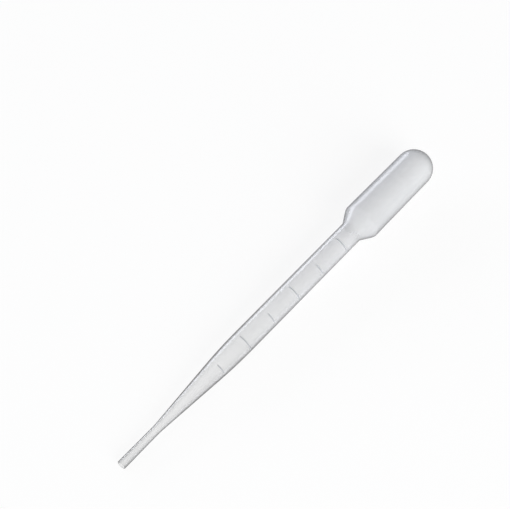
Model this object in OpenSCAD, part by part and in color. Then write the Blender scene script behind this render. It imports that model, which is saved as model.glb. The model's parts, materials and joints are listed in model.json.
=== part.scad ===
// Graduated dropper pipette, blown in one piece from thin translucent plastic.
// It lies on a bench with its axis in the XZ plane, its tip towards -X and its bulb towards +X.
// Heights and stations are measured along the axis, from the mouth of the tip.

/* [Length] */
// Whole length, from the mouth of the tip to the top of the bulb
total_length = 156; // [150:0.5:176]
// Distance from the mouth to the shoulder under the bulb
shoulder_height = 115; // [109:0.5:119]

/* [Tip] */
// Outside diameter at the mouth
mouth_d = 3.05; // [2.9:0.05:3.4]
// Length of the straight end behind the mouth
mouth_length = 4; // [2:0.5:6]
// Outside diameter at the waist, where the tip is thinnest
waist_d = 2.95; // [2.7:0.05:3.0]
// Distance from the mouth to the waist
waist_height = 12; // [9:0.5:14]
// Distance from the mouth to the start of the taper
tip_length = 16.9; // [15:0.1:20]
// Diameter of the hole through the tip
tip_bore_d = 2.05; // [1.6:0.05:2.1]

/* [Stem] */
// Outside diameter of the straight stem
stem_d = 8; // [7.2:0.1:9]
// Angle between the taper and the axis, in degrees
taper_angle = 4.2; // [3.8:0.1:6]
// Radius of the hollow bend where the tip meets the taper
taper_foot_r = 20; // [5:1:40]
// Radius of the long bend where the taper meets the stem
taper_head_r = 210; // [100:1:300]

/* [Bulb] */
// Outside diameter of the bulb above the shoulder
bulb_d = 13.54; // [12:0.02:16]
// Outside diameter of the bulb below its dome
dome_d = 13.2; // [11.8:0.02:14]
// Angle between the shoulder's cone and the axis, in degrees
shoulder_angle = 28.6; // [22:0.1:45]
// Radius of the hollow bend where the stem meets the shoulder
shoulder_foot_r = 1.5; // [0.5:0.1:3]
// Radius of the round edge between the shoulder and the bulb
shoulder_edge_r = 2.5; // [1:0.1:4]

/* [Wall] */
// Thickness of the blown wall of the taper, stem and bulb
wall = 0.42; // [0.35:0.01:0.6]

/* [Graduations] */
// Height of the 0.5 mL mark, which is on the taper
half_ml_height = 45; // [41:0.1:49]
// Height of the 1 mL mark, from which the marks are evenly spaced
one_ml_height = 57.5; // [54:0.1:62]
// Volume of the stem between two neighbouring marks, in millilitres
step_ml = 0.5; // [0.4:0.05:0.8]
// Width of a mark along the stem
mark_width = 0.5; // [0.3:0.05:0.8]
// Height of a mark above the wall
mark_rise = 0.2; // [0.1:0.01:0.25]
// Angle that a whole-millilitre mark covers round the stem, in degrees
long_mark_angle = 100; // [80:1:150]
// Angle that a half-millilitre mark covers round the stem, in degrees
short_mark_angle = 58; // [30:1:75]
// Turn of the lying pipette about its axis, which brings the marks from its top to its front, in degrees
marks_turn = 43; // [0:1:60]

/* [Hidden] */

// Largest turn in degrees, and largest distance, between two points of a bend
bend_step = 3;
bend_chord = 2;
// Sides of the round outlines
$fn = 96;
// Azimuth where the wall's faces start, which puts the middle of one of them under the pipette
seam_azimuth = 176.3;

mouth_r = mouth_d / 2;
waist_r = waist_d / 2;
tip_bore_r = tip_bore_d / 2;
stem_r = stem_d / 2;
bulb_r = bulb_d / 2;
dome_r = dome_d / 2;

// Stations of the outline's corners along the axis
taper_end = tip_length + (stem_r - waist_r) / tan(taper_angle);
bulb_start = shoulder_height + (bulb_r - stem_r) / tan(shoulder_angle);
dome_start = total_length - dome_r;

// Angle between the bulb's side and the axis, which narrows towards the dome
draft_angle = atan2(bulb_r - dome_r, dome_start - bulb_start);

// A bend of radius r between two lines at angles a1 and a2 to the axis, which would meet at corner.
// The sign of a2 - a1 says which side the bend's centre lies on.
function bend(corner, r, a1, a2) =
    let (side = a2 > a1 ? 1 : -1,
         steps = ceil(abs(a2 - a1) * max(1 / bend_step, r * PI / 180 / bend_chord)),
         reach = r * tan(abs(a2 - a1) / 2),
         centre = corner - reach * [cos(a1), sin(a1)] + side * r * [-sin(a1), cos(a1)])
    [for (i = [0 : steps])
        let (a = a1 + (a2 - a1) * i / steps)
        centre - side * r * [-sin(a), cos(a)]];

// The corner where two lines at angles a1 and a2 meet, moved inwards by t square to both lines
function inset(corner, a1, a2, t) =
    corner + t / cos((a1 - a2) / 2) * [sin((a1 + a2) / 2), -cos((a1 + a2) / 2)];

// A quarter round of radius r that closes the dome on the axis
function dome(r) =
    let (steps = ceil(90 / bend_step))
    [for (i = [0 : steps])
        let (a = 90 - 90 * i / steps)
        [dome_start + r * cos(a), r * sin(a)]];

// Stem, shoulder and bulb, at depth t under the outside
function upper_outline(t) = concat(
    bend(inset([taper_end, stem_r], taper_angle, 0, t), taper_head_r - t, taper_angle, 0),
    bend(inset([shoulder_height, stem_r], 0, shoulder_angle, t), shoulder_foot_r + t,
         0, shoulder_angle),
    bend(inset([bulb_start, bulb_r], shoulder_angle, -draft_angle, t), shoulder_edge_r - t,
         shoulder_angle, -draft_angle),
    dome(dome_r - t));

// Outside, as [station, radius] points from the mouth to the top of the dome
outside = concat(
    [[0, mouth_r], [mouth_length, mouth_r], [waist_height, waist_r]],
    bend([tip_length, waist_r], taper_foot_r, 0, taper_angle),
    upper_outline(0));

// Station where the tip's straight hole opens into the taper
bore_end = tip_length + (tip_bore_r + wall / cos(taper_angle) - waist_r) / tan(taper_angle);

// Inside, in the same order
inside = concat(
    [[0, tip_bore_r]],
    bend([bore_end, tip_bore_r], taper_foot_r + wall, 0, taper_angle),
    upper_outline(wall));

// How the pipette lies: it turns about the bulb's round edge until the outside in front
// of the shoulder meets the bench
edge_bend = bend([bulb_start, bulb_r], shoulder_edge_r, shoulder_angle, -draft_angle);
edge_centre = edge_bend[0] - shoulder_edge_r * [-sin(shoulder_angle), cos(shoulder_angle)];
lie_angle = min([for (p = outside)
    if (p.x < shoulder_height)
        let (gap = edge_centre - p)
        atan2(gap.y, gap.x) + asin(shoulder_edge_r / norm(gap))]);
axis_lift = max([for (p = outside) p.y * cos(lie_angle) - p.x * sin(lie_angle)]);
low_x = min([for (p = outside) p.x * cos(lie_angle) - p.y * sin(lie_angle)]);
high_x = max([for (p = outside) p.x * cos(lie_angle) + p.y * sin(lie_angle)]);

// Marks: the 0.5 mL mark, then one at each step for as long as the stem is straight
step_height = step_ml * 1000 / (PI * pow(stem_r - wall, 2));
last_mark_height = shoulder_height - shoulder_foot_r - mark_width;
straight_marks = [for (h = [one_ml_height : step_height : last_mark_height]) h];
mark_heights = concat([half_ml_height], straight_marks);
// Radius of the round bead that stands out by mark_rise and is mark_width across at the wall
bead_r = (pow(mark_width / 2, 2) + pow(mark_rise, 2)) / (2 * mark_rise);

// Turns the axis from +Z to the lying pose, with an azimuth of 0 on top and 90 in front
module lying() {
    translate([-(low_x + high_x) / 2, 0, axis_lift])
        rotate([0, 90 - lie_angle, 0])
            rotate([0, 0, 180])
                children();
}

module blown_wall() {
    outline = concat(outside, [for (i = [len(inside) - 1 : -1 : 0]) inside[i]]);
    rotate_extrude()
        polygon([for (p = outline) [p.y, p.x]]);
}

// A raised line round part of the stem, with its middle at an azimuth of 0
module mark(height, angle) {
    rotate([0, 0, -angle / 2])
        translate([0, 0, height])
            rotate_extrude(angle = angle)
                translate([lookup(height, outside) + mark_rise - bead_r, 0])
                    circle(bead_r);
}

module pipette() {
    color("#dde3e4", 0.8)
        lying()
            union() {
                rotate([0, 0, seam_azimuth])
                    blown_wall();
                rotate([0, 0, marks_turn])
                    for (i = [0 : len(mark_heights) - 1])
                        mark(mark_heights[i], i % 2 == 0 ? short_mark_angle : long_mark_angle);
            }
}

pipette();
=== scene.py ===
"""A dropper pipette of translucent polyethylene, lying on a pale bench.

The pipette is one blown piece: a thin open tip, a long taper, a graduated stem, a cone shoulder
and a squeeze bulb. Its outline is drawn once as a chain of edges and spun about its axis.
"""

import json
import math

import bpy
import numpy as np
from mathutils import Matrix, Vector


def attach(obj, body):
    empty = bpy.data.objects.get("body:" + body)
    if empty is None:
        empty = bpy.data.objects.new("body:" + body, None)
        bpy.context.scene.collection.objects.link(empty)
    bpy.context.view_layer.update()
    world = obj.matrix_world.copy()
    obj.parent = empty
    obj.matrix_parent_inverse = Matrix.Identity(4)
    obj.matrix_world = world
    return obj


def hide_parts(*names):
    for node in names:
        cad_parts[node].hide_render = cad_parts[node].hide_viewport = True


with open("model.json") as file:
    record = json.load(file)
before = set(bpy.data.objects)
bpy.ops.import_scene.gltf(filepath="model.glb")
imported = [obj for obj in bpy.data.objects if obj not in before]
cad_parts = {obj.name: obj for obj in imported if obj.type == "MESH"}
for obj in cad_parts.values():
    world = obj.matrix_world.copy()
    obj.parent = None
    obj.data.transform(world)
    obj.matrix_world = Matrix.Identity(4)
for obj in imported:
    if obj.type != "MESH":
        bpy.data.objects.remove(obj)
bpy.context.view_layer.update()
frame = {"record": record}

MM = 0.001
MOUNTS = {mount["name"]: mount for mount in frame["record"]["mounts"]}

# ---------------------------------------------------------------- sizes, in millimetres

TOTAL_LENGTH = 156.0
SHOULDER_HEIGHT = 115.0

MOUTH_R = MOUNTS["tip"]["dims"]["r_mm"]
MOUTH_LENGTH = MOUNTS["tip"]["dims"]["length_mm"]
BORE_R = MOUNTS["tip_bore"]["dims"]["r_mm"]
WAIST_R = 1.475
WAIST_HEIGHT = 12.0
TIP_LENGTH = 16.9
LIP_R = 0.12

STEM_R = MOUNTS["stem"]["dims"]["r_mm"]
TAPER_ANGLE = math.radians(4.2)
TAPER_FOOT_R = 20.0
TAPER_HEAD_R = 210.0

BULB_R = 6.77
DOME_R = 6.6
SHOULDER_ANGLE = math.radians(28.6)
SHOULDER_FOOT_R = 1.5
SHOULDER_EDGE_R = 2.5

WALL = 0.42

HALF_ML_HEIGHT = 45.0
ONE_ML_HEIGHT = 57.5
STEP_ML = 0.5
CUBIC_MM_PER_ML = 1000
MARK_WIDTH = 0.5
MARK_RISE = 0.2
LONG_MARK = math.radians(100)
SHORT_MARK = math.radians(58)
MARKS_TURN = math.radians(43)

# Sides of the spun body, and the longest stretch along the axis between two of its rings
SIDES = 128
SIDE = math.tau / SIDES
RING_SPACING = 2.0

# Largest turn between two points of a bend, and parts of the dome's and the lip's quarter rounds
BEND_STEP = math.radians(5)
DOME_PARTS = 18
LIP_PARTS = 4

# Sides of the body over which each end of a mark runs out
MARK_RUN_OUT = 3

# Points nearer than this are one point, and a ring this near a station is the one meant
MERGE_DISTANCE = 0.002
RING_REACH = 0.01

# ---------------------------------------------------------------- finish, light and view

# Haze is the share of the light that the milk in each face of the wall scatters. It grows from
# the tip's to the bulb's between two places along X, given in millimetres
TIP_HAZE = 0.03
BULB_HAZE = 0.42
HAZE_START = -40.0
HAZE_END = 60.0

# Clouds in the milk: their size across the tube in millimetres, the scale on X, Y and Z that
# draws them out along it, and the haze that they add or take away between two noise values
CLOUD_SIZE = 6.0
CLOUD_SCALE = (0.4, 1, 1)
CLOUD_HAZE = 0.03
CLOUD_LOW = 0.3
CLOUD_HIGH = 0.7

# Painted shade on the marks: the haze that a mark adds, and the share of clear light it lets through
MARK_SHADE_HAZE = 0.8
MARK_SHADE_CLEAR = 0.4

# Colour of the milk, and the grey of painted shade on a mark's raised line
MILK_COLOUR = "e3e4e6"
MARK_SHADE_COLOUR = "a8acb2"

# How steeply the grey outline darkens towards the edge, at the mouth and from the middle on
TIP_EDGE = 1.2
STEM_EDGE = 2.5

# Share of the haze that is left, and the shine, where the wall is seen face on and edge on
FACE_MILK = 1.0
EDGE_MILK = 0.3
FACE_SHINE = 0.035
EDGE_SHINE = 0.15

# Roughness of the skin where the clouds' noise is 0 and where it is 1
CLEAR_ROUGHNESS = 0.12
CLOUDY_ROUGHNESS = 0.22

# Waves of the skin, in millimetres: from one to the next, and their height
SKIN_WAVE = 2.0
SKIN_DEPTH = 0.003

# Share of its light that the milk passes on, and what the plastic absorbs in each millimetre
ONWARD_SHARE = 0.3
ABSORPTION = 0.13

# Size of the bench in metres, and the share of it that shows as plain white
BENCH_SIZE = 6
BENCH_WHITE = 0.85

# Red, green and blue of the even light from all round
WORLD_LIGHT = (0.3, 0.3, 0.306, 1)

# Lamps: direction from the pipette, distance and size in metres, power in watts, and colour
KEY_TOWARDS = (-0.25, -0.88, 0.42)
KEY_DISTANCE = 3.0
KEY_SIZE = (2.0, 2.0)
KEY_POWER = 131
KEY_TINT = "fffffd"
STRIP_TOWARDS = (-0.02, 0.95, 0.18)
STRIP_DISTANCE = 3.0
STRIP_SIZE = (4.8, 1.5)
STRIP_POWER = 117
STRIP_TINT = "f2f5ff"

# Where the camera stands, in metres from the point that it looks at, and the nearest that it
# shows. That point is a station along the axis, moved by so many millimetres to the right and
# upwards as the camera sees it
CAMERA_AZIMUTH = math.radians(-50.04)
CAMERA_ELEVATION = math.radians(52.71)
CAMERA_DISTANCE = 0.634
CAMERA_NEAR = 0.01
CAMERA_VIEW = math.radians(15.0)
AIM_STATION = 78.35
AIM_RIGHT = -8.87
AIM_UP = 15.56

# ---------------------------------------------------------------- the outline

TAPER_END = TIP_LENGTH + (STEM_R - WAIST_R) / math.tan(TAPER_ANGLE)
BULB_START = SHOULDER_HEIGHT + (BULB_R - STEM_R) / math.tan(SHOULDER_ANGLE)
DOME_START = TOTAL_LENGTH - DOME_R
DRAFT_ANGLE = math.atan2(BULB_R - DOME_R, DOME_START - BULB_START)


def bend(corner, radius, angle_in, angle_out):
    """An arc between two lines at these angles to the axis, which would meet at corner."""
    turn = angle_out - angle_in
    side = math.copysign(1, turn)
    steps = math.ceil(abs(turn) * max(1 / BEND_STEP, radius / RING_SPACING))
    reach = radius * math.tan(abs(turn) / 2)
    start = corner - reach * Vector((math.cos(angle_in), math.sin(angle_in)))
    centre = start + side * radius * Vector((-math.sin(angle_in), math.cos(angle_in)))
    angles = [angle_in + turn * i / steps for i in range(steps + 1)]
    return [centre - side * radius * Vector((-math.sin(a), math.cos(a))) for a in angles]


def inset(corner, angle_in, angle_out, depth):
    """The corner of two lines at these angles to the axis, with both lines moved in by depth."""
    middle = (angle_in + angle_out) / 2
    reach = depth / math.cos((angle_in - angle_out) / 2)
    return Vector(corner) + reach * Vector((math.sin(middle), -math.cos(middle)))


def dome(radius):
    """A quarter round that closes the dome on the axis."""
    angles = [math.pi / 2 * (1 - i / DOME_PARTS) for i in range(DOME_PARTS + 1)]
    return [Vector((DOME_START + radius * math.cos(a), radius * math.sin(a))) for a in angles]


def upper_outline(depth):
    """Stem, shoulder and bulb, at this depth under the outside."""
    head = inset((TAPER_END, STEM_R), TAPER_ANGLE, 0, depth)
    foot = inset((SHOULDER_HEIGHT, STEM_R), 0, SHOULDER_ANGLE, depth)
    edge = inset((BULB_START, BULB_R), SHOULDER_ANGLE, -DRAFT_ANGLE, depth)
    return (
        bend(head, TAPER_HEAD_R - depth, TAPER_ANGLE, 0)
        + bend(foot, SHOULDER_FOOT_R + depth, 0, SHOULDER_ANGLE)
        + bend(edge, SHOULDER_EDGE_R - depth, SHOULDER_ANGLE, -DRAFT_ANGLE)
        + dome(DOME_R - depth)
    )


def outside_outline():
    """The outside, from behind the lip to the top of the dome."""
    tip = [Vector((MOUTH_LENGTH, MOUTH_R)), Vector((WAIST_HEIGHT, WAIST_R))]
    foot = bend(Vector((TIP_LENGTH, WAIST_R)), TAPER_FOOT_R, 0, TAPER_ANGLE)
    return tip + foot + upper_outline(0)


def inside_outline():
    """The inside, from behind the lip to the top of the dome."""
    slant = WALL / math.cos(TAPER_ANGLE)
    bore_end = TIP_LENGTH + (BORE_R + slant - WAIST_R) / math.tan(TAPER_ANGLE)
    foot = bend(Vector((bore_end, BORE_R)), TAPER_FOOT_R + WALL, 0, TAPER_ANGLE)
    return foot + upper_outline(WALL)


def lip_outline():
    """The mouth's rim, from its inside to its outside, with both edges softened."""
    turns = [math.pi / 2 * i / LIP_PARTS for i in range(LIP_PARTS + 1)]
    inner = [Vector((LIP_R * (1 - math.sin(a)), BORE_R + LIP_R * (1 - math.cos(a)))) for a in turns]
    outer = [Vector((LIP_R * (1 - math.cos(a)), MOUTH_R - LIP_R * (1 - math.sin(a)))) for a in turns]
    return inner + outer


def spaced(points):
    """The same chain of points, with long stretches divided evenly."""
    chain = [points[0]]
    for start, end in zip(points, points[1:]):
        parts = max(1, math.ceil((end - start).length / RING_SPACING))
        chain += [start.lerp(end, i / parts) for i in range(1, parts + 1)]
    return chain


def radius_at(station, outline):
    """The radius of an outline at a station along the axis."""
    for start, end in zip(outline, outline[1:]):
        if start.x <= station <= end.x and end.x > start.x:
            return start.lerp(end, (station - start.x) / (end.x - start.x)).y
    raise ValueError(f"the outline has no station {station}")


# ---------------------------------------------------------------- the marks

BORE_AREA = math.pi * (STEM_R - WALL) ** 2
STEP_HEIGHT = STEP_ML * CUBIC_MM_PER_ML / BORE_AREA
LAST_MARK_HEIGHT = SHOULDER_HEIGHT - SHOULDER_FOOT_R - MARK_WIDTH
STRAIGHT_MARKS = int((LAST_MARK_HEIGHT - ONE_ML_HEIGHT) / STEP_HEIGHT) + 1
MARK_HEIGHTS = [HALF_ML_HEIGHT] + [ONE_ML_HEIGHT + STEP_HEIGHT * i for i in range(STRAIGHT_MARKS)]
MARK_ANGLES = [SHORT_MARK if i % 2 == 0 else LONG_MARK for i in range(len(MARK_HEIGHTS))]

# The rings across a mark, as shares of half its width, and how high each one stands
MARK_RINGS = {-1.6: 0.0, -1.0: 0.0, -0.6: 0.7, 0.0: 1.0, 0.6: 0.7, 1.0: 0.0, 1.6: 0.0}


def mark_stations():
    """The station of every ring that a mark needs."""
    return [h + share * MARK_WIDTH / 2 for h in MARK_HEIGHTS for share in MARK_RINGS]


def with_mark_rings(outline):
    """The outside's points, with a ring at each mark station and none crowding it."""
    stations = mark_stations()
    kept = [p for p in outline if all(abs(p.x - s) > MARK_WIDTH / 2 for s in stations)]
    added = [Vector((s, radius_at(s, outline))) for s in stations]
    return sorted(kept + added, key=lambda p: p.x)


# ---------------------------------------------------------------- modelling


def select_vertices(body, test):
    """Selects the vertices for which test(x, y, z), in millimetres, is true."""
    bpy.ops.object.mode_set(mode="EDIT")
    bpy.ops.mesh.select_mode(type="VERT")
    bpy.ops.mesh.select_all(action="DESELECT")
    bpy.ops.object.mode_set(mode="OBJECT")
    places = np.empty(len(body.data.vertices) * 3, np.float32)
    body.data.vertices.foreach_get("co", places)
    body.data.vertices.foreach_set("select", test(*(places.reshape(-1, 3).T / MM)))


def raise_selected(rise, radius):
    """Moves the selected vertices out from the Z axis by rise, from this radius."""
    grow = (radius + rise) / radius
    bpy.ops.object.mode_set(mode="EDIT")
    bpy.ops.transform.resize(value=(grow, grow, 1), center_override=(0, 0, 0))
    bpy.ops.object.mode_set(mode="OBJECT")


def spin_body(name, outline):
    """Draws the outline by extruding one vertex, and spins it about the Z axis."""
    points = [Vector((p.y, 0, p.x)) * MM for p in outline]
    bpy.ops.object.select_all(action="DESELECT")
    bpy.ops.mesh.primitive_plane_add(size=MM, location=(0, 0, 0))
    body = bpy.context.object
    body.name = body.data.name = name
    bpy.ops.object.mode_set(mode="EDIT")
    bpy.ops.mesh.merge(type="CENTER")
    bpy.ops.transform.translate(value=points[0])
    for start, end in zip(points, points[1:]):
        bpy.ops.mesh.extrude_vertices_move(TRANSFORM_OT_translate={"value": end - start})
    bpy.ops.mesh.select_all(action="SELECT")
    bpy.ops.mesh.spin(steps=SIDES, angle=math.tau, center=(0, 0, 0), axis=(0, 0, 1))
    bpy.ops.mesh.select_all(action="SELECT")
    bpy.ops.mesh.remove_doubles(threshold=MERGE_DISTANCE * MM)
    bpy.ops.mesh.normals_make_consistent(inside=False)
    bpy.ops.object.mode_set(mode="OBJECT")
    return body


def note_marks(body, share):
    """Adds share to the attribute "mark" of the selected vertices, which the plastic reads."""
    if "mark" not in body.data.attributes:
        body.data.attributes.new("mark", "FLOAT", "POINT")
    chosen = np.empty(len(body.data.vertices), bool)
    body.data.vertices.foreach_get("select", chosen)
    heights = np.empty(len(chosen), np.float32)
    body.data.attributes["mark"].data.foreach_get("value", heights)
    body.data.attributes["mark"].data.foreach_set("value", heights + share * chosen)


def note_outside(body, outside):
    """Adds the attribute "outside", 1 on the outer face of the wall and 0 on the inner one."""
    places = np.empty(len(body.data.vertices) * 3, np.float32)
    body.data.vertices.foreach_get("co", places)
    x, y, z = places.reshape(-1, 3).T / MM
    middle = np.interp(z, [p.x for p in outside], [p.y - WALL / 2 for p in outside])
    faces_out = (np.hypot(x, y) > middle) | (z > DOME_START + DOME_R - WALL / 2)
    body.data.attributes.new("outside", "FLOAT", "POINT")
    body.data.attributes["outside"].data.foreach_set("value", faces_out.astype(np.float32))


def raise_marks(body, marks, radius):
    """Raises these marks, as (station, angle) pairs, where the outside has this radius.

    Each pass leaves out one more side at both ends, so that a mark runs out over MARK_RUN_OUT sides.
    """
    for height in set(MARK_RINGS.values()) - {0.0}:
        shares = [share for share, ring_height in MARK_RINGS.items() if ring_height == height]
        for i in range(MARK_RUN_OUT):

            def on_mark(x, y, z):
                chosen = np.zeros(x.shape, bool)
                for station, angle in marks:
                    for share in shares:
                        on_ring = abs(z - station - share * MARK_WIDTH / 2) < RING_REACH
                        chosen |= on_ring & (abs(np.arctan2(y, x)) < angle / 2 - i * SIDE)
                return chosen & (np.hypot(x, y) > radius - WALL / 2)

            select_vertices(body, on_mark)
            note_marks(body, height / MARK_RUN_OUT)
            raise_selected(height * MARK_RISE / MARK_RUN_OUT, radius)


def lie_down(body):
    """Lays the body along the axis that the mounts give, turned so that its marks face the front."""
    tip = MOUNTS["tip"]
    along = -Vector(tip["axis"])
    front = Vector((0, -1, 0))
    top = front.cross(along)
    mouth = Vector(tip["pos_m"])
    marks = math.cos(MARKS_TURN) * top + math.sin(MARKS_TURN) * front
    turned = Matrix((marks, along.cross(marks), along)).transposed().to_4x4()
    body.matrix_world = Matrix.Translation(mouth) @ turned
    bpy.ops.object.transform_apply(location=True, rotation=True, scale=True)


def make_pipette():
    """The blown body as one closed shell, outside and inside."""
    outside = spaced([Vector((LIP_R, MOUTH_R))] + outside_outline())
    inside = spaced([Vector((LIP_R, BORE_R))] + inside_outline())
    marked = with_mark_rings(outside)
    chain = list(reversed(inside))[:-1] + lip_outline() + marked[1:]
    body = spin_body("pipette_body", chain)
    note_outside(body, outside)
    marks = list(zip(MARK_HEIGHTS, MARK_ANGLES))
    raise_marks(body, marks[:1], radius_at(HALF_ML_HEIGHT, outside))
    raise_marks(body, marks[1:], STEM_R)
    bpy.ops.object.shade_smooth()
    lie_down(body)
    return body


# ---------------------------------------------------------------- materials


def srgb(code):
    """The linear colour of an sRGB hex value."""
    values = [int(code[i : i + 2], 16) / 255 for i in (0, 2, 4)]
    linear = [v / 12.92 if v <= 0.04045 else ((v + 0.055) / 1.055) ** 2.4 for v in values]
    return (*linear, 1)


def add_node(tree, kind, sockets=None, **settings):
    """Adds a node with these settings. Each socket is given a value, or an output to link from."""
    node = tree.nodes.new("ShaderNode" + kind)
    for key, value in settings.items():
        setattr(node, key, value)
    for key, value in (sockets or {}).items():
        if isinstance(value, bpy.types.NodeSocket):
            tree.links.new(value, node.inputs[key])
        else:
            node.inputs[key].default_value = value
    return node


def new_material(name):
    material = bpy.data.materials.new(name)
    material.use_nodes = True
    material.node_tree.nodes.clear()
    return material


def polyethylene():
    """Natural low-density polyethylene, drawn as a tube and blown in a polished mould.

    It is milky but lets light straight through, so the bench shows faintly behind it. Seen edge
    on, the wall is many times as deep, and reads as a thin grey outline with a soft gloss.
    """
    material = new_material("natural_blown_polyethylene")
    tree = material.node_tree
    place = add_node(tree, "TexCoord").outputs["Object"]
    station = add_node(tree, "SeparateXYZ", {"Vector": place}).outputs["X"]
    mark = add_node(tree, "Attribute", attribute_name="mark").outputs["Fac"]

    # Clouds, drawn out along the tube as the plastic flowed
    flow = add_node(tree, "Mapping", {"Vector": place, "Scale": CLOUD_SCALE}).outputs["Vector"]
    cloud = add_node(
        tree,
        "TexNoise",
        {"Vector": flow, "Scale": 1 / (CLOUD_SIZE * MM), "Detail": 3},
    ).outputs["Fac"]
    patches = add_node(
        tree,
        "MapRange",
        {
            "Value": cloud,
            "From Min": CLOUD_LOW,
            "From Max": CLOUD_HIGH,
            "To Min": -CLOUD_HAZE,
            "To Max": CLOUD_HAZE,
        },
    ).outputs["Result"]

    # The tip stays nearly clear, and the blown bulb is the milkiest
    blown = add_node(
        tree,
        "MapRange",
        {
            "Value": station,
            "From Min": HAZE_START * MM,
            "From Max": HAZE_END * MM,
            "To Min": TIP_HAZE,
            "To Max": BULB_HAZE,
        },
    ).outputs["Result"]
    plain_haze = add_node(tree, "Math", {0: blown, 1: patches}, operation="ADD").outputs["Value"]

    # Painted shade: extra haze, a grey tone and less see-through draw each raised mark as a fine
    # grey line
    painted_mark_shade = add_node(tree, "Math", {0: mark, 1: MARK_SHADE_HAZE}, operation="MULTIPLY").outputs["Value"]
    haze = add_node(
        tree,
        "Math",
        {0: plain_haze, 1: painted_mark_shade},
        operation="ADD",
        use_clamp=True,
    ).outputs["Value"]

    # How nearly edge on the outer face is seen: the narrower the tube, the wider its grey outline
    facing = add_node(tree, "LayerWeight", {"Blend": 0.5}).outputs["Facing"]
    narrowness = add_node(
        tree,
        "MapRange",
        {
            "Value": station,
            "From Min": -TOTAL_LENGTH / 2 * MM,
            "From Max": 0.0,
            "To Min": TIP_EDGE,
            "To Max": STEM_EDGE,
        },
    ).outputs["Result"]
    steep = add_node(tree, "Math", {0: facing, 1: narrowness}, operation="POWER").outputs["Value"]
    outer = add_node(tree, "Attribute", attribute_name="outside").outputs["Fac"]
    edge = add_node(tree, "Math", {0: steep, 1: outer}, operation="MULTIPLY").outputs["Value"]

    # The deep edge, and the painted shade on the marks, hold back what shows through the wall
    open_share = add_node(tree, "Math", {0: 1.0, 1: edge}, operation="SUBTRACT").outputs["Value"]
    mark_shade_share = add_node(tree, "MapRange", {"Value": mark, "To Min": 1.0, "To Max": MARK_SHADE_CLEAR})
    passed = add_node(
        tree,
        "Math",
        {0: open_share, 1: mark_shade_share.outputs["Result"]},
        operation="MULTIPLY",
    ).outputs["Value"]
    clear = add_node(tree, "BsdfTransparent", {"Color": passed}).outputs["BSDF"]

    # A fine unevenness of the blown skin
    wave = add_node(tree, "TexNoise", {"Vector": place, "Scale": 1 / (SKIN_WAVE * MM), "Detail": 2})
    skin = add_node(
        tree,
        "Bump",
        {"Height": wave.outputs["Fac"], "Strength": 1.0, "Distance": SKIN_DEPTH * MM},
    ).outputs["Normal"]

    # The milk in the plastic scatters light back and on through the wall
    # On the marks the milk takes the grey of painted shade
    white = add_node(
        tree,
        "Mix",
        {"Factor": mark, 6: srgb(MILK_COLOUR), 7: srgb(MARK_SHADE_COLOUR)},
        data_type="RGBA",
    ).outputs[2]
    back = add_node(tree, "BsdfDiffuse", {"Color": white, "Normal": skin}).outputs["BSDF"]
    onward = add_node(tree, "BsdfTranslucent", {"Color": white, "Normal": skin}).outputs["BSDF"]
    milk = add_node(tree, "MixShader", {0: ONWARD_SHARE, 1: back, 2: onward}).outputs["Shader"]

    # Edge on, the depth of the wall hides most of its milk
    milky = add_node(tree, "MapRange", {"Value": edge, "To Min": FACE_MILK, "To Max": EDGE_MILK})
    milk_share = add_node(
        tree,
        "Math",
        {0: haze, 1: milky.outputs["Result"]},
        operation="MULTIPLY",
    ).outputs["Value"]
    wall = add_node(tree, "MixShader", {0: milk_share, 1: clear, 2: milk}).outputs["Shader"]

    # The polished skin, a little duller where it is cloudy
    shine = add_node(tree, "MapRange", {"Value": edge, "To Min": FACE_SHINE, "To Max": EDGE_SHINE})
    dullness = add_node(
        tree,
        "MapRange",
        {"Value": cloud, "To Min": CLEAR_ROUGHNESS, "To Max": CLOUDY_ROUGHNESS},
    )
    gloss = add_node(
        tree,
        "BsdfGlossy",
        {"Color": srgb("ffffff"), "Roughness": dullness.outputs["Result"], "Normal": skin},
    ).outputs["BSDF"]
    surface = add_node(tree, "MixShader", {0: shine.outputs["Result"], 1: wall, 2: gloss})

    # The plastic itself takes up a little light on the way through
    depth = add_node(
        tree,
        "VolumeAbsorption",
        {"Color": srgb("000000"), "Density": ABSORPTION / MM},
    )
    add_node(
        tree,
        "OutputMaterial",
        {"Surface": surface.outputs["Shader"], "Volume": depth.outputs["Volume"]},
    )
    return material


def bench_top():
    """Matt white laminate: it shows white to the eye and keeps the pipette's shadow."""
    material = new_material("matt_white_laminate")
    tree = material.node_tree
    seen = seen_directly(tree)
    share = add_node(tree, "Math", {0: seen, 1: BENCH_WHITE}, operation="MULTIPLY").outputs["Value"]
    matt = add_node(tree, "BsdfDiffuse", {"Color": srgb("f4f4f4")}).outputs["BSDF"]
    white = add_node(tree, "Emission", {"Color": srgb("ffffff"), "Strength": 1.0})
    bench = add_node(tree, "MixShader", {0: share, 1: matt, 2: white.outputs["Emission"]})
    add_node(tree, "OutputMaterial", {"Surface": bench.outputs["Shader"]})
    return material


def seen_directly(tree):
    """1 for what the camera sees, also in a gloss or through the plastic, and 0 for other light."""
    path = add_node(tree, "LightPath").outputs
    mirrored = add_node(
        tree,
        "Math",
        {0: path["Is Camera Ray"], 1: path["Is Glossy Ray"]},
        operation="MAXIMUM",
    ).outputs["Value"]
    return add_node(
        tree,
        "Math",
        {0: mirrored, 1: path["Is Transmission Ray"]},
        operation="MAXIMUM",
    ).outputs["Value"]


# ---------------------------------------------------------------- stage, light and camera


def make_bench(material):
    bpy.ops.object.select_all(action="DESELECT")
    bpy.ops.mesh.primitive_plane_add(size=BENCH_SIZE, location=(0, 0, 0))
    bench = bpy.context.object
    bench.name = "bench"
    bench.data.materials.append(material)


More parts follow.
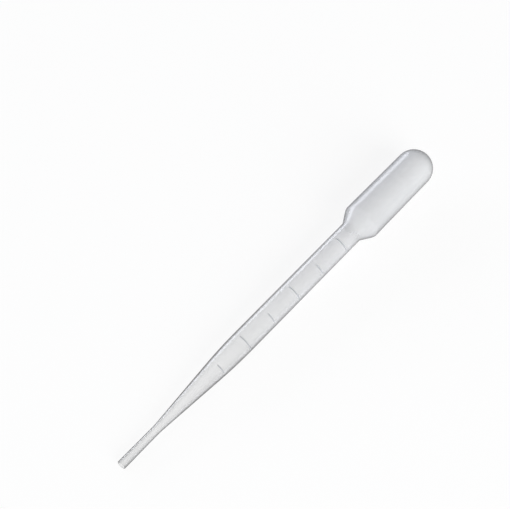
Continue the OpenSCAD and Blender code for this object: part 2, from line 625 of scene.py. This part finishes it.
def make_world():
    """Even studio light, which looks white wherever it is seen."""
    world = bpy.data.worlds.new("studio")
    bpy.context.scene.world = world
    world.use_nodes = True
    tree = world.node_tree
    tree.nodes.clear()
    sky = add_node(
        tree,
        "Mix",
        {"Factor": seen_directly(tree), 6: WORLD_LIGHT, 7: (1, 1, 1, 1)},
        data_type="RGBA",
    ).outputs[2]
    background = add_node(tree, "Background", {"Color": sky, "Strength": 1.0})
    add_node(tree, "OutputWorld", {"Surface": background.outputs["Background"]})


def make_lamp(name, towards, distance, size, power, tint):
    """A rectangular soft box in this direction from the pipette's middle, and aimed at it."""
    light = bpy.data.lights.new(name, "AREA")
    light.shape = "RECTANGLE"
    light.size, light.size_y = size
    light.energy = power
    light.color = srgb(tint)[:3]
    lamp = bpy.data.objects.new(name, light)
    bpy.context.scene.collection.objects.link(lamp)
    direction = Vector(towards).normalized()
    lamp.location = direction * distance
    lamp.rotation_euler = direction.to_track_quat("Z", "Y").to_euler()
    return lamp


def make_camera():
    tip = MOUNTS["tip"]
    along = -Vector(tip["axis"])
    middle = Vector(tip["pos_m"]) + along * AIM_STATION * MM
    flat = math.cos(CAMERA_ELEVATION)
    back = Vector(
        (
            flat * math.sin(CAMERA_AZIMUTH),
            -flat * math.cos(CAMERA_AZIMUTH),
            math.sin(CAMERA_ELEVATION),
        )
    )
    right = Vector((0, 0, 1)).cross(back).normalized()
    up = back.cross(right)
    data = bpy.data.cameras.new("camera")
    data.angle = CAMERA_VIEW
    data.clip_start = CAMERA_NEAR
    camera = bpy.data.objects.new("camera", data)
    bpy.context.scene.collection.objects.link(camera)
    camera.location = middle + (right * AIM_RIGHT + up * AIM_UP) * MM + back * CAMERA_DISTANCE
    camera.rotation_euler = Matrix((right, up, back)).transposed().to_euler()
    bpy.context.scene.camera = camera


# ---------------------------------------------------------------- the scene

pipette = make_pipette()
pipette.data.materials.append(polyethylene())
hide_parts("pipette")
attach(pipette, "root")

make_bench(bench_top())
make_world()
key = make_lamp("key", KEY_TOWARDS, KEY_DISTANCE, KEY_SIZE, KEY_POWER, KEY_TINT)
key.visible_glossy = False
make_lamp("strip", STRIP_TOWARDS, STRIP_DISTANCE, STRIP_SIZE, STRIP_POWER, STRIP_TINT)
make_camera()
bpy.context.scene.view_settings.view_transform = "Standard"
